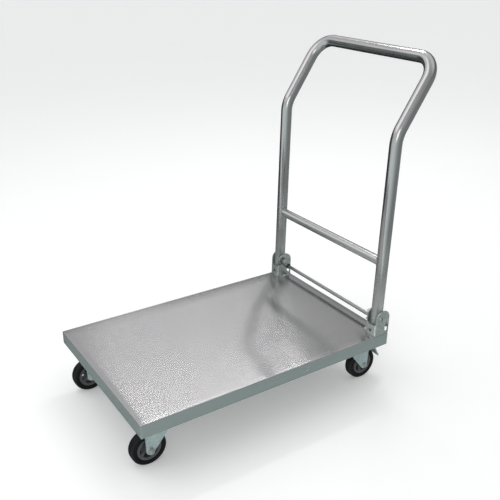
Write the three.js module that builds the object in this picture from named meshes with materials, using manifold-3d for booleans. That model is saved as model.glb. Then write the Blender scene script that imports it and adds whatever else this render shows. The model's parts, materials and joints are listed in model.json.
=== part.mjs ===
// Folding platform cart: a folded sheet-steel deck on four swivel casters, with a bent tube handle
// that hinges down over the deck and a foot-operated lock rod behind its feet.
// Millimetres, +Z up, +X towards the handle. Left and right are those of a person pushing the cart,
// so left is -Y and right is +Y. The origin is on the floor, under the middle of the whole cart.
import * as THREE from 'three';
import { mergeVertices } from 'three/addons/utils/BufferGeometryUtils.js';
import Module from 'manifold-3d';

const wasm = await Module();
wasm.setup();

// ---------------------------------------------------------------- driving dimensions

const GAP = 0.3; // between two pieces that touch, and around a pin in its hole

const DECK_LENGTH = 740;
const DECK_WIDTH = 480;
const DECK_TOP = 160; // height of the loading face above the floor
const SKIRT = 37; // depth of the folded edge
const SHEET = 1.5;
const EDGE_BEND = 2.5;
const LIP = 12; // return flange at the bottom of the skirt

const TUBE_RADIUS = 16;
const TUBE_WALL = 1.5;
const LEG_IN = 30; // leg axis, in from the rear edge of the deck
const LEG_Y = 221; // leg axis, out from the middle
const PIVOT_UP = 50; // hinge axis above the deck
const FOOT_UP = 29; // open lower end of the leg above the deck
const KNEE = { back: 5, z: 703, radius: 80 };
const SHOULDER = { back: 119, z: 876, radius: 57 };
const CROSSBAR_RADIUS = 12.5;
const CROSSBAR_UP = 210;

const EAR_LENGTH = 46.5;
const EAR_HEIGHT = 72.75;
const EAR_THICKNESS = 2.5;
const EAR_CLEARANCE = 0.4; // tube to ear
const WEB_FRONT = 49.5; // front face of the bracket's web, in from the rear edge
const WEB_UP = 32;
const WEB_TOP = DECK_TOP + WEB_UP;
const PIN_RADIUS = 5;

const ROD_RADIUS = 5;
const ROD_IN = 9;
const ROD_UP = 26;
const ROD_TRAVEL = 14;

const WHEEL_RADIUS = 45;
const WHEEL_WIDTH = 26;
const TRAIL = 26; // wheel axle behind the swivel axis
const CASTER_Y = 178;
const KINGPIN_FROM_FRONT = 67;
const KINGPIN_FROM_REAR = 61;
const CASTER_TOP = 122.7;

const MIDDLE_X = 50.5; // halfway between the front tyres and the top of the handle

// ---------------------------------------------------------------- materials

const finish = (color, roughness, metalness) => new THREE.MeshStandardMaterial({ color, roughness, metalness });
const stainless = finish(0xb9b8b8, 0.34, 1.0);
const tubeSteel = finish(0xb0b3b2, 0.25, 1.0);
const zinc = finish(0x9fb0b0, 0.38, 1.0);
const darkSpring = finish(0x4a4d4f, 0.45, 1.0);
const tyreRubber = finish(0x131316, 0.75, 0.0);
const hubPlastic = finish(0x4b4c52, 0.5, 0.0);

// ---------------------------------------------------------------- solids

function toSolid(geometry) {
  const bare = geometry.clone();
  bare.deleteAttribute('normal');
  bare.deleteAttribute('uv');
  const merged = mergeVertices(bare);
  return new wasm.Manifold(new wasm.Mesh({
    numProp: 3,
    vertProperties: new Float32Array(merged.attributes.position.array),
    triVerts: new Uint32Array(merged.index.array),
  }));
}

function toGeometry(solid) {
  const mesh = solid.getMesh();
  const geometry = new THREE.BufferGeometry();
  geometry.setAttribute('position', new THREE.BufferAttribute(mesh.vertProperties, 3));
  geometry.setIndex(new THREE.BufferAttribute(mesh.triVerts, 1));
  geometry.computeVertexNormals();
  return geometry;
}

function combine(first, joined, removed) {
  let solid = toSolid(first);
  for (const geometry of joined) solid = solid.add(toSolid(geometry));
  for (const geometry of removed) solid = solid.subtract(toSolid(geometry));
  return toGeometry(solid);
}

function common(first, second) {
  return toGeometry(toSolid(first).intersect(toSolid(second)));
}

function block(x0, x1, y0, y1, z0, z1) {
  const geometry = new THREE.BoxGeometry(x1 - x0, y1 - y0, z1 - z0);
  return geometry.translate((x0 + x1) / 2, (y0 + y1) / 2, (z0 + z1) / 2);
}

// A round bar along Y between y0 and y1, through the point (x, z).
function barAlongY(radius, y0, y1, x, z, sides = 16) {
  const geometry = new THREE.CylinderGeometry(radius, radius, y1 - y0, sides);
  return geometry.translate(x, (y0 + y1) / 2, z);
}

// A round bar along Z between z0 and z1, through the point (x, y).
function barAlongZ(radius, z0, z1, x, y, sides = 16) {
  const geometry = new THREE.CylinderGeometry(radius, radius, z1 - z0, sides);
  return geometry.rotateX(Math.PI / 2).translate(x, y, (z0 + z1) / 2);
}

// A plate lying flat: its outline is seen from above.
function plateFlat(shape, z0, z1, arcSteps = 6) {
  const geometry = new THREE.ExtrudeGeometry(shape, { depth: z1 - z0, bevelEnabled: false, curveSegments: arcSteps });
  return geometry.translate(0, 0, z0);
}

// A plate standing up along the cart: its outline is seen from the side, as (x, z).
function plateUpright(shape, y0, y1, arcSteps = 6) {
  const geometry = new THREE.ExtrudeGeometry(shape, { depth: y1 - y0, bevelEnabled: false, curveSegments: arcSteps });
  return geometry.rotateX(Math.PI / 2).translate(0, y1, 0);
}

function outline(points) {
  return new THREE.Shape(points.map(([x, y]) => new THREE.Vector2(x, y)));
}

function roundedRectangle(x0, x1, y0, y1, radius) {
  const shape = new THREE.Shape();
  const quarter = Math.PI / 2;
  shape.absarc(x1 - radius, y1 - radius, radius, 0, quarter);
  shape.absarc(x0 + radius, y1 - radius, radius, quarter, 2 * quarter);
  shape.absarc(x0 + radius, y0 + radius, radius, 2 * quarter, 3 * quarter);
  shape.absarc(x1 - radius, y0 + radius, radius, 3 * quarter, 4 * quarter);
  return shape;
}

// A turned piece: the profile lists (radius, height) counter-clockwise, and closes on itself.
function turned(profile, sides, startAngle = 0) {
  const points = [...profile, profile[0]].map(([r, h]) => new THREE.Vector2(r, h));
  return new THREE.LatheGeometry(points, sides, startAngle);
}

function turnedAlongZ(profile, sides, startAngle = 0) {
  return turned(profile, sides, startAngle).rotateX(Math.PI / 2);
}

// A centre line with one section at each given point, so straight runs stay in one piece.
class CentreLine extends THREE.Curve {
  constructor(points) {
    super();
    this.points = points;
  }

  station(u) {
    return Math.round(u * (this.points.length - 1));
  }

  getPointAt(u, target = new THREE.Vector3()) {
    return target.copy(this.points[this.station(u)]);
  }

  getPoint(u, target = new THREE.Vector3()) {
    return this.getPointAt(u, target);
  }

  getSpacedPoints() {
    return this.points;
  }

  getTangentAt(u, target = new THREE.Vector3()) {
    const i = this.station(u);
    const before = this.points[Math.max(i - 1, 0)];
    const after = this.points[Math.min(i + 1, this.points.length - 1)];
    const here = this.points[i];
    const arriving = here.clone().sub(before).normalize();
    const leaving = after.clone().sub(here).normalize();
    return target.copy(arriving).add(leaving).normalize();
  }
}

function sweep(section, points, arcSteps) {
  const path = new CentreLine(points);
  return new THREE.ExtrudeGeometry(section, {
    steps: points.length - 1,
    extrudePath: path,
    curveSegments: arcSteps,
  });
}

// The corners of a bent tube, each rounded to its radius with the given number of steps.
function bentLine(corners, radii, arcSteps) {
  const points = [corners[0]];
  radii.forEach((radius, i) => {
    const corner = corners[i + 1];
    const back = corners[i].clone().sub(corner).normalize();
    const ahead = corners[i + 2].clone().sub(corner).normalize();
    const half = back.angleTo(ahead) / 2;
    const start = corner.clone().addScaledVector(back, radius / Math.tan(half));
    const centre = corner.clone().addScaledVector(back.clone().add(ahead).normalize(), radius / Math.sin(half));
    const axis = back.clone().cross(ahead).normalize().negate();
    for (let step = 0; step <= arcSteps; step += 1) {
      const turn = (step / arcSteps) * (Math.PI - 2 * half);
      const spoke = start.clone().sub(centre).applyAxisAngle(axis, turn);
      points.push(centre.clone().add(spoke));
    }
  });
  points.push(corners[corners.length - 1]);
  return points;
}

function tubeSection(radius, wall) {
  const section = new THREE.Shape();
  section.absarc(0, 0, radius, 0, 2 * Math.PI);
  if (wall) {
    const bore = new THREE.Path();
    bore.absarc(0, 0, radius - wall, 0, 2 * Math.PI, true);
    section.holes.push(bore);
  }
  return section;
}

function hexPrism(acrossFlats, y0, y1, x, z) {
  return barAlongY(acrossFlats / Math.sqrt(3), y0, y1, x, z, 6);
}

const cart = new THREE.Group();

function place(parent, name, geometry, material) {
  const mesh = new THREE.Mesh(geometry, material);
  mesh.name = name;
  parent.add(mesh);
  return mesh;
}

const SIDES = [
  { side: 'left', out: -1 },
  { side: 'right', out: 1 },
];

// A span along Y that is given for the right-hand side and mirrored for the left.
function spanY(out, near, far) {
  return out > 0 ? [near, far] : [-far, -near];
}

// ---------------------------------------------------------------- deck

const REAR_EDGE = DECK_LENGTH / 2;
const FRONT_EDGE = -DECK_LENGTH / 2;
const DECK_UNDERSIDE = DECK_TOP - SHEET;
const SKIRT_BOTTOM = DECK_TOP - SKIRT;
const LEG_X = REAR_EDGE - LEG_IN;
const PIVOT_Z = DECK_TOP + PIVOT_UP;

const DECK_BOLT_HOLE = 4.4;
const BRACKET_BOLTS = [
  { x: LEG_X, y: LEG_Y },
  { x: LEG_X + 2, y: LEG_Y - 27 },
];

function deckPan() {
  const inset = EDGE_BEND;
  const plan = roundedRectangle(
    FRONT_EDGE + inset, REAR_EDGE - inset, -DECK_WIDTH / 2 + inset, DECK_WIDTH / 2 - inset, 1.5,
  );
  const folded = new THREE.ExtrudeGeometry(plan, {
    depth: SKIRT,
    bevelThickness: EDGE_BEND,
    bevelSize: EDGE_BEND,
    bevelSegments: 3,
    curveSegments: 2,
  });
  folded.translate(0, 0, DECK_TOP - EDGE_BEND - SKIRT);
  const halfWidth = DECK_WIDTH / 2;
  const hollow = block(
    FRONT_EDGE + SHEET, REAR_EDGE - SHEET, -halfWidth + SHEET, halfWidth - SHEET, SKIRT_BOTTOM + SHEET, DECK_UNDERSIDE,
  );
  const mouth = block(
    FRONT_EDGE + LIP, REAR_EDGE - LIP, -halfWidth + LIP, halfWidth - LIP, SKIRT_BOTTOM - 10, DECK_UNDERSIDE,
  );
  const below = block(FRONT_EDGE - 10, REAR_EDGE + 10, -halfWidth - 10, halfWidth + 10, SKIRT_BOTTOM - 20, SKIRT_BOTTOM);
  const boltHoles = [];
  for (const { out } of SIDES) {
    for (const { x, y } of BRACKET_BOLTS) {
      boltHoles.push(barAlongZ(DECK_BOLT_HOLE, DECK_UNDERSIDE - 5, DECK_TOP + 5, x, out * y, 12));
    }
  }
  return combine(folded, [], [hollow, mouth, below, ...boltHoles]);
}

// A folded channel with its open side up and its two flanges under the deck, seen from its end.
function channelSection(width, bottom, wall, flange) {
  const top = DECK_UNDERSIDE - GAP;
  const half = width / 2;
  return outline([
    [-half, bottom],
    [half, bottom],
    [half, top - wall],
    [half + flange, top - wall],
    [half + flange, top],
    [half - wall, top],
    [half - wall, bottom + wall],
    [-half + wall, bottom + wall],
    [-half + wall, top],
    [-half - flange, top],
    [-half - flange, top - wall],
    [-half, top - wall],
  ]);
}

const CHANNEL_WIDTH = 96;
const CHANNEL_HALF_LENGTH = 212;
const CHANNEL_WALL = 2;
const CHANNEL_FLANGE = 10;
const CASTER_HOLES = { x: 37.5, y: 24, radius: 4.3 };

function casterHoles(x, y, z0, z1) {
  const holes = [];
  for (const alongX of [-1, 1]) {
    for (const alongY of [-1, 1]) {
      const hole = barAlongZ(
        CASTER_HOLES.radius, z0, z1, x + alongX * CASTER_HOLES.x, y + alongY * CASTER_HOLES.y, 8,
      );
      holes.push(hole);
    }
  }
  return holes;
}

function casterChannel(kingpinX) {
  const section = channelSection(CHANNEL_WIDTH, SKIRT_BOTTOM, CHANNEL_WALL, CHANNEL_FLANGE);
  const channel = plateUpright(section, -CHANNEL_HALF_LENGTH, CHANNEL_HALF_LENGTH).translate(kingpinX, 0, 0);
  const holes = SIDES.flatMap(({ out }) => casterHoles(kingpinX, out * CASTER_Y, SKIRT_BOTTOM - 5, SKIRT_BOTTOM + 5));
  return combine(channel, [], holes);
}

const FRONT_KINGPIN_X = FRONT_EDGE + KINGPIN_FROM_FRONT;
const REAR_KINGPIN_X = REAR_EDGE - KINGPIN_FROM_REAR;

const STIFFENER = { width: 40, y: 85, depth: 26, wall: 1.5, flange: 12 };

function stiffener() {
  const section = channelSection(
    STIFFENER.width, DECK_UNDERSIDE - STIFFENER.depth, STIFFENER.wall, STIFFENER.flange,
  );
  const reach = CHANNEL_WIDTH / 2 + CHANNEL_FLANGE + GAP;
  const x0 = FRONT_KINGPIN_X + reach;
  const x1 = REAR_KINGPIN_X - reach;
  const bar = plateUpright(section, x0, x1);
  return bar.rotateZ(-Math.PI / 2);
}

function addDeck() {
  place(cart, 'deck_pan', deckPan(), stainless);
  place(cart, 'caster_channel_front', casterChannel(FRONT_KINGPIN_X), zinc);
  place(cart, 'caster_channel_rear', casterChannel(REAR_KINGPIN_X), zinc);
  for (const { side, out } of SIDES) {
    const bar = place(cart, `deck_stiffener_${side}`, stiffener(), zinc);
    bar.position.y = out * STIFFENER.y;
  }
}

// ---------------------------------------------------------------- handle

// The legs lean back a little, and pass through the hinge axis.
function legPoint(z) {
  const lean = KNEE.back / (KNEE.z - PIVOT_Z);
  return LEG_X + lean * (z - PIVOT_Z);
}

function handleTube() {
  const foot = DECK_TOP + FOOT_UP;
  const leg = (out) => [
    new THREE.Vector3(legPoint(foot), out * LEG_Y, foot),
    new THREE.Vector3(LEG_X + KNEE.back, out * LEG_Y, KNEE.z),
    new THREE.Vector3(LEG_X + SHOULDER.back, out * LEG_Y, SHOULDER.z),
  ];
  const corners = [...leg(-1), ...leg(1).reverse()];
  const radii = [KNEE.radius, SHOULDER.radius, SHOULDER.radius, KNEE.radius];
  const tube = sweep(tubeSection(TUBE_RADIUS, TUBE_WALL), bentLine(corners, radii, 5), 8);
  const reach = LEG_Y + 2 * TUBE_RADIUS;
  const pinHole = barAlongY(PIN_RADIUS + GAP, -reach, reach, LEG_X, PIVOT_Z, 12);
  return combine(tube, [], [pinHole]);
}

// The crossbar's ends are saddle-cut to sit against the legs.
function crossbar() {
  const z = DECK_TOP + CROSSBAR_UP;
  const x = legPoint(z);
  const ends = [new THREE.Vector3(x, -LEG_Y, z), new THREE.Vector3(x, LEG_Y, z)];
  const bar = sweep(tubeSection(CROSSBAR_RADIUS, TUBE_WALL), ends, 8);
  const saddles = SIDES.map(({ out }) => (
    barAlongZ(TUBE_RADIUS + GAP, z - 2 * TUBE_RADIUS, z + 2 * TUBE_RADIUS, x, out * LEG_Y, 24)
  ));
  return combine(bar, [], saddles);
}

function addHandle() {
  place(cart, 'handle_tube', handleTube(), tubeSteel);
  place(cart, 'handle_crossbar', crossbar(), tubeSteel);
}

// ---------------------------------------------------------------- hinge brackets and lock

const EAR_NEAR = TUBE_RADIUS + EAR_CLEARANCE; // inner face of an ear, out from the leg axis
const EAR_FAR = EAR_NEAR + EAR_THICKNESS;
const BRACKET_BASE = DECK_TOP + GAP;
const ROD_X = REAR_EDGE - ROD_IN;
const ROD_Z = DECK_TOP + ROD_UP;
const EAR_REAR = REAR_EDGE - 0.5;
const TAB_REACH = 15;
const EAR_BEND = 6;
const NOTCH_CORNER = 8;

// The bracket from the side: round-headed ears, and a lower web in front of the leg's foot.
function bracketSide() {
  const earFront = EAR_REAR - EAR_LENGTH;
  const webFront = REAR_EDGE - WEB_FRONT;
  const radius = EAR_LENGTH / 2;
  const shape = new THREE.Shape();
  shape.moveTo(webFront - 1, BRACKET_BASE - 1);
  shape.lineTo(EAR_REAR, BRACKET_BASE - 1);
  shape.absarc(EAR_REAR - radius, DECK_TOP + EAR_HEIGHT - radius, radius, 0, Math.PI);
  shape.lineTo(earFront, WEB_TOP);
  shape.lineTo(webFront - 1, WEB_TOP);
  return shape;
}

// The bracket from above: one sheet bent round the front of the leg into two ears.
function bracketPlan(out) {
  const front = REAR_EDGE - WEB_FRONT;
  const back = EAR_REAR + 1;
  const innerBend = EAR_BEND - EAR_THICKNESS;
  const bendX = front + EAR_BEND;
  const y = out * LEG_Y;
  const shape = new THREE.Shape();
  shape.moveTo(back, y - EAR_FAR);
  shape.lineTo(back, y - EAR_NEAR);
  shape.absarc(bendX, y - EAR_NEAR + innerBend, innerBend, -Math.PI / 2, -Math.PI, true);
  shape.absarc(bendX, y + EAR_NEAR - innerBend, innerBend, Math.PI, Math.PI / 2, true);
  shape.lineTo(back, y + EAR_NEAR);
  shape.lineTo(back, y + EAR_FAR);
  shape.absarc(bendX, y + EAR_FAR - EAR_BEND, EAR_BEND, Math.PI / 2, Math.PI);
  shape.absarc(bendX, y - EAR_FAR + EAR_BEND, EAR_BEND, Math.PI, 3 * Math.PI / 2);
  return shape;
}

// The folded leg lies in this notch, which cuts the web and its bends down to a hollow edge.
function legNotch(y) {
  const shape = roundedRectangle(-EAR_NEAR, EAR_NEAR, WEB_TOP, DECK_TOP + EAR_HEIGHT + NOTCH_CORNER, NOTCH_CORNER);
  const front = REAR_EDGE - WEB_FRONT;
  const depth = EAR_BEND + 1;
  const geometry = new THREE.ExtrudeGeometry(shape, { depth, bevelEnabled: false, curveSegments: 5 });
  return geometry.rotateX(Math.PI / 2).rotateZ(Math.PI / 2).translate(front - 1, y, 0);
}

function hingeBracket(out) {
  const y = out * LEG_Y;
  const reach = EAR_FAR + 5;
  const sheet = common(
    plateFlat(bracketPlan(out), BRACKET_BASE, DECK_TOP + EAR_HEIGHT + 1, 3),
    plateUpright(bracketSide(), y - reach, y + reach, 7),
  );
  const middle = EAR_THICKNESS / 2; // the floor plate ends inside the thickness of the sheet
  const floorTop = BRACKET_BASE + EAR_THICKNESS;
  const floorFront = REAR_EDGE - WEB_FRONT + middle;
  const floorPlan = outline([
    [floorFront, y - EAR_FAR + middle],
    [EAR_REAR - 1, y - EAR_FAR + middle],
    [EAR_REAR - 1, y + EAR_FAR - middle],
    [floorFront, y + EAR_FAR - middle],
  ]);
  const [tabEdge, tabRoot] = spanY(out, LEG_Y - EAR_FAR - TAB_REACH, LEG_Y - 4);
  const tabPlan = roundedRectangle(LEG_X - 15, LEG_X + 21, tabEdge, tabRoot, 11.5);
  const floor = plateFlat(floorPlan, BRACKET_BASE, floorTop);
  const tab = plateFlat(tabPlan, BRACKET_BASE, floorTop, 3);
  const pinHole = barAlongY(PIN_RADIUS + GAP, y - reach, y + reach, LEG_X, PIVOT_Z, 14);
  const slotHalf = ROD_RADIUS + 0.4;
  const slot = roundedRectangle(
    ROD_X - slotHalf, ROD_X + slotHalf, ROD_Z - ROD_TRAVEL - slotHalf, ROD_Z + slotHalf, 0.9 * slotHalf,
  );
  const rodSlot = plateUpright(slot, y - reach, y + reach, 3);
  const webHole = new THREE.CylinderGeometry(4.5, 4.5, 20, 10).rotateZ(Math.PI / 2)
    .translate(REAR_EDGE - WEB_FRONT, y, DECK_TOP + 15);
  const boltHoles = BRACKET_BOLTS.map((bolt) => (
    barAlongZ(DECK_BOLT_HOLE, DECK_TOP - 5, DECK_TOP + 10, bolt.x, out * bolt.y, 10)
  ));
  return combine(sheet, [floor, tab], [legNotch(y), pinHole, rodSlot, webHole, ...boltHoles]);
}

const PIN_HEAD = { radius: 9, height: 3.5 };
const SPRING = { wire: 1, radius: 8.5, pitch: 2.4, turns: 2, first: 1.4, stepsPerTurn: 12 };
const SPRING_SPACE = 7.6;
const NUT = { flats: 17, height: 7 };

function pivotBolt(out) {
  const outside = LEG_Y + EAR_FAR + GAP;
  const inside = LEG_Y - EAR_FAR - SPRING_SPACE - NUT.height - 2;
  const [s0, s1] = spanY(out, inside, outside + 1);
  const [h0, h1] = spanY(out, outside, outside + PIN_HEAD.height);
  const shank = barAlongY(PIN_RADIUS, s0, s1, LEG_X, PIVOT_Z, 16);
  const head = barAlongY(PIN_HEAD.radius, h0, h1, LEG_X, PIVOT_Z, 16);
  return combine(shank, [head], []);
}

function pivotNut(out) {
  const near = LEG_Y - EAR_FAR - SPRING_SPACE - NUT.height;
  const [n0, n1] = spanY(out, near, near + NUT.height);
  const [b0, b1] = spanY(out, near - 5, near + NUT.height + 5);
  return combine(
    hexPrism(NUT.flats, n0, n1, LEG_X, PIVOT_Z), [], [barAlongY(PIN_RADIUS + GAP, b0, b1, LEG_X, PIVOT_Z, 12)],
  );
}

// A torsion spring round the pivot bolt: one leg hooks the ear's front edge, the other lifts the rod.
function springLine(out) {
  const earFace = LEG_Y - EAR_FAR;
  const at = (x, z, fromEar) => new THREE.Vector3(LEG_X + x, out * (earFace - fromEar), PIVOT_Z + z);
  const rod = new THREE.Vector2(ROD_X - LEG_X, ROD_Z - PIVOT_Z);
  const clearOfRod = ROD_RADIUS + SPRING.wire + GAP;
  const legAngle = rod.angle() - Math.acos((SPRING.radius - clearOfRod) / rod.length());
  const side = new THREE.Vector2(Math.cos(legAngle), Math.sin(legAngle));
  const along = new THREE.Vector2(-side.y, side.x);
  const start = -Math.PI / 2;
  const wound = legAngle - start + 2 * Math.PI * (SPRING.turns - 1);
  const steps = Math.round((wound / (2 * Math.PI)) * SPRING.stepsPerTurn);
  const last = SPRING.first + SPRING.pitch * (wound / (2 * Math.PI));
  const hookX = REAR_EDGE - LEG_X - EAR_LENGTH - 3;
  const points = [
    at(hookX, -SPRING.radius, 1 - EAR_THICKNESS),
    at(hookX, -SPRING.radius, SPRING.first - 1),
    at(hookX + 1, -SPRING.radius, SPRING.first),
  ];
  for (let step = 0; step <= steps; step += 1) {
    const part = step / steps;
    const angle = start + part * wound;
    const fromEar = SPRING.first + part * (last - SPRING.first);
    points.push(at(SPRING.radius * Math.cos(angle), SPRING.radius * Math.sin(angle), fromEar));
  }
  const run = rod.dot(along) + ROD_RADIUS;
  const tip = side.clone().multiplyScalar(SPRING.radius).addScaledVector(along, run);
  points.push(at(tip.x, tip.y, last));
  return points;
}

function addHinges() {
  for (const { side, out } of SIDES) {
    place(cart, `hinge_bracket_${side}`, hingeBracket(out), zinc);
    place(cart, `pivot_bolt_${side}`, pivotBolt(out), zinc);
    place(cart, `pivot_nut_${side}`, pivotNut(out), zinc);
    place(cart, `return_spring_${side}`, sweep(tubeSection(SPRING.wire), springLine(out), 3), darkSpring);
  }
}

const ROD_CLIP = { radius: 8, thickness: 1.5, fromEar: 0.6 };

function addLockRod() {
  const end = LEG_Y + EAR_FAR;
  place(cart, 'lock_rod', barAlongY(ROD_RADIUS, -end, end, ROD_X, ROD_Z, 16), zinc);
  for (const { side, out } of SIDES) {
    const far = LEG_Y - EAR_FAR - ROD_CLIP.fromEar;
    const [c0, c1] = spanY(out, far - ROD_CLIP.thickness, far);
    const disc = barAlongY(ROD_CLIP.radius, c0, c1, ROD_X, ROD_Z, 12);
    const bore = barAlongY(ROD_RADIUS + GAP, c0 - 1, c1 + 1, ROD_X, ROD_Z, 12);
    place(cart, `rod_clip_${side}`, combine(disc, [], [bore]), darkSpring);
  }
}

// ---------------------------------------------------------------- casters

// A caster is drawn about its swivel axis, trailing towards +X.
const PLATE = { length: 92, width: 64, thickness: 3, corner: 6 };
const PLATE_BOTTOM = CASTER_TOP - PLATE.thickness;
const RACE = { inner: 13, outer: 24.5, bottom: 113.1 };
const BALL_RACE = { inner: 11, outer: 23, top: 112.8, bottom: 109.8 };
const CROWN = { radius: 26, top: 109.5, bottom: 106.5 };
const KINGPIN = { radius: 5.7, head: 9, headHeight: 7.5 };
const FORK_INSIDE = 17;
const FORK_SHEET = 2.5;
const AXLE_RADIUS = 4;
const BRAKE_PIVOT = { x: 32, z: 97, radius: 2.5 };

function casterPlate() {
  const plan = roundedRectangle(-PLATE.length / 2, PLATE.length / 2, -PLATE.width / 2, PLATE.width / 2, PLATE.corner);
  const plate = plateFlat(plan, PLATE_BOTTOM, CASTER_TOP, 2);
  const race = turnedAlongZ([
    [RACE.inner, RACE.bottom],
    [RACE.outer, RACE.bottom],
    [RACE.outer + 3, PLATE_BOTTOM + 1],
    [RACE.inner, PLATE_BOTTOM + 1],
  ], 16);
  const kingpinHole = barAlongZ(KINGPIN.radius + GAP, PLATE_BOTTOM - 5, CASTER_TOP + 5, 0, 0, 12);
  return combine(plate, [race], [kingpinHole, ...casterHoles(0, 0, PLATE_BOTTOM - 5, CASTER_TOP + 5)]);
}

function ballRace() {
  return turnedAlongZ([
    [BALL_RACE.inner, BALL_RACE.bottom],
    [BALL_RACE.outer, BALL_RACE.bottom],
    [BALL_RACE.outer, BALL_RACE.top],
    [BALL_RACE.inner, BALL_RACE.top],
  ], 16);
}

function kingpin() {
  const headTop = CROWN.bottom - GAP;
  const shank = barAlongZ(KINGPIN.radius, headTop - 1, CASTER_TOP - GAP, 0, 0, 12);
  const head = barAlongZ(KINGPIN.head, headTop - KINGPIN.headHeight, headTop, 0, 0, 12);
  return combine(shank, [head], []);
}

// One fork leg from the side: broad under the crown, narrowing to a round end at the axle.
function forkLegOutline() {
  const end = 11;
  const pivotLobe = 6.5;
  const shape = new THREE.Shape();
  shape.moveTo(-24, CROWN.top);
  shape.lineTo(-24, 100);
  shape.lineTo(-16, 80);
  shape.absarc(TRAIL, WHEEL_RADIUS, end, 1.2 * Math.PI, 2 * Math.PI);
  shape.lineTo(BRAKE_PIVOT.x + pivotLobe, 85);
  shape.absarc(BRAKE_PIVOT.x, BRAKE_PIVOT.z, pivotLobe, 0, Math.PI / 2);
  shape.lineTo(24, CROWN.top);
  return shape;
}

function fork() {
  const outside = FORK_INSIDE + FORK_SHEET;
  const legs = [-1, 1].map((k) => {
    const [y0, y1] = spanY(k, FORK_INSIDE, outside);
    return plateUpright(forkLegOutline(), y0, y1, 4);
  });
  const disc = barAlongZ(CROWN.radius, CROWN.bottom, CROWN.top, 0, 0, 16);
  const bridge = block(-24, 24, -outside, outside, CROWN.bottom, CROWN.top);
  const kingpinHole = barAlongZ(KINGPIN.radius + GAP, CROWN.bottom - 5, CROWN.top + 5, 0, 0, 12);
  const axleHole = barAlongY(AXLE_RADIUS + GAP, -outside - 5, outside + 5, TRAIL, WHEEL_RADIUS, 12);
  const brakeHole = barAlongY(BRAKE_PIVOT.radius + GAP, -outside - 5, outside + 5, BRAKE_PIVOT.x, BRAKE_PIVOT.z, 8);
  return combine(disc, [bridge, ...legs], [kingpinHole, axleHole, brakeHole]);
}

function axleBolt() {
  const seat = FORK_INSIDE + FORK_SHEET + GAP;
  const shank = barAlongY(AXLE_RADIUS, -seat - 1, seat + 9, TRAIL, WHEEL_RADIUS, 12);
  return combine(shank, [hexPrism(13, -seat - 5.3, -seat, TRAIL, WHEEL_RADIUS)], []);
}

function axleNut() {
  const seat = FORK_INSIDE + FORK_SHEET + GAP;
  const bore = barAlongY(AXLE_RADIUS + GAP, seat - 5, seat + 15, TRAIL, WHEEL_RADIUS, 12);
  return combine(hexPrism(13, seat, seat + 7.5, TRAIL, WHEEL_RADIUS), [], [bore]);
}

const SLEEVE_RADIUS = 6;

function axleSleeve() {
  const half = FORK_INSIDE - GAP;
  const inner = AXLE_RADIUS + GAP;
  return turned([[inner, -half], [SLEEVE_RADIUS, -half], [SLEEVE_RADIUS, half], [inner, half]], 12)
    .translate(TRAIL, 0, WHEEL_RADIUS);
}

// Wheels stand on a flat facet, so their round section is drawn outside its true radius.
const WHEEL_SIDES = 24;
const FACET_TURN = Math.PI / WHEEL_SIDES;
const FACET_SCALE = 1 / Math.cos(FACET_TURN);
const RIM_RADIUS = 31;

function tyre() {
  const half = WHEEL_WIDTH / 2;
  const inner = RIM_RADIUS + GAP;
  const tread = WHEEL_RADIUS * FACET_SCALE;
  return turned([
    [inner, -half + 1],
    [tread - 3, -half],
    [tread, -half + 4],
    [tread, half - 4],
    [tread - 3, half],
    [inner, half - 1],
  ], WHEEL_SIDES, FACET_TURN).translate(TRAIL, 0, WHEEL_RADIUS);
}

const HUB = { boss: 11, bossHalf: 15, web: 5, rimInner: 26, windows: 5 };

function hubWindow(index) {
  const middle = (index / HUB.windows) * 2 * Math.PI;
  const spread = 0.42;
  const shape = new THREE.Shape();
  shape.absarc(0, 0, HUB.rimInner - 2, middle - spread, middle + spread);
  shape.absarc(0, 0, HUB.boss + 3, middle + spread * 0.75, middle - spread * 0.75, true);
  return plateUpright(shape, -WHEEL_WIDTH, WHEEL_WIDTH, 2);
}

function wheelHub() {
  const bore = SLEEVE_RADIUS + GAP;
  const rimHalf = WHEEL_WIDTH / 2 - 1.5;
  const upperHalf = [
    [RIM_RADIUS, rimHalf],
    [HUB.rimInner, rimHalf],
    [HUB.boss + 1, HUB.web],
    [HUB.boss, HUB.bossHalf],
    [bore, HUB.bossHalf],
  ];
  const lowerHalf = upperHalf.map(([radius, height]) => [radius, -height]).reverse();
  const body = turned([...lowerHalf, ...upperHalf], WHEEL_SIDES, FACET_TURN);
  const windows = Array.from({ length: HUB.windows }, (_, index) => hubWindow(index));
  return combine(body, [], windows).translate(TRAIL, 0, WHEEL_RADIUS);
}

const PEDAL_HALF_WIDTH = 15;

// The pedal curves down behind the wheel; pressing it brings the shoe under it onto the tread.
function brakePedal() {
  const arm = outline([
    [28, 95],
    [51, 95.5],
    [67.5, 81],
    [83.5, 52.5],
    [86, 54],
    [70, 83],
    [53, 98.5],
    [36, 101.5],
    [28, 101.5],
  ]);
  const shoe = outline([
    [53.5, 90.5],
    [62.8, 82.5],
    [66, 86],
    [56.5, 94],
  ]);
  const reach = FORK_INSIDE + 5;
  const pinHole = barAlongY(BRAKE_PIVOT.radius + GAP, -reach, reach, BRAKE_PIVOT.x, BRAKE_PIVOT.z + 1, 8);
  return combine(
    plateUpright(arm, -PEDAL_HALF_WIDTH, PEDAL_HALF_WIDTH),
    [plateUpright(shoe, -PEDAL_HALF_WIDTH + 3, PEDAL_HALF_WIDTH - 3)],
    [pinHole.translate(0, 0, -1)],
  );
}

function brakePin() {
  const half = FORK_INSIDE + FORK_SHEET + 1.5;
  return barAlongY(BRAKE_PIVOT.radius, -half, half, BRAKE_PIVOT.x, BRAKE_PIVOT.z, 10);
}

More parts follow.
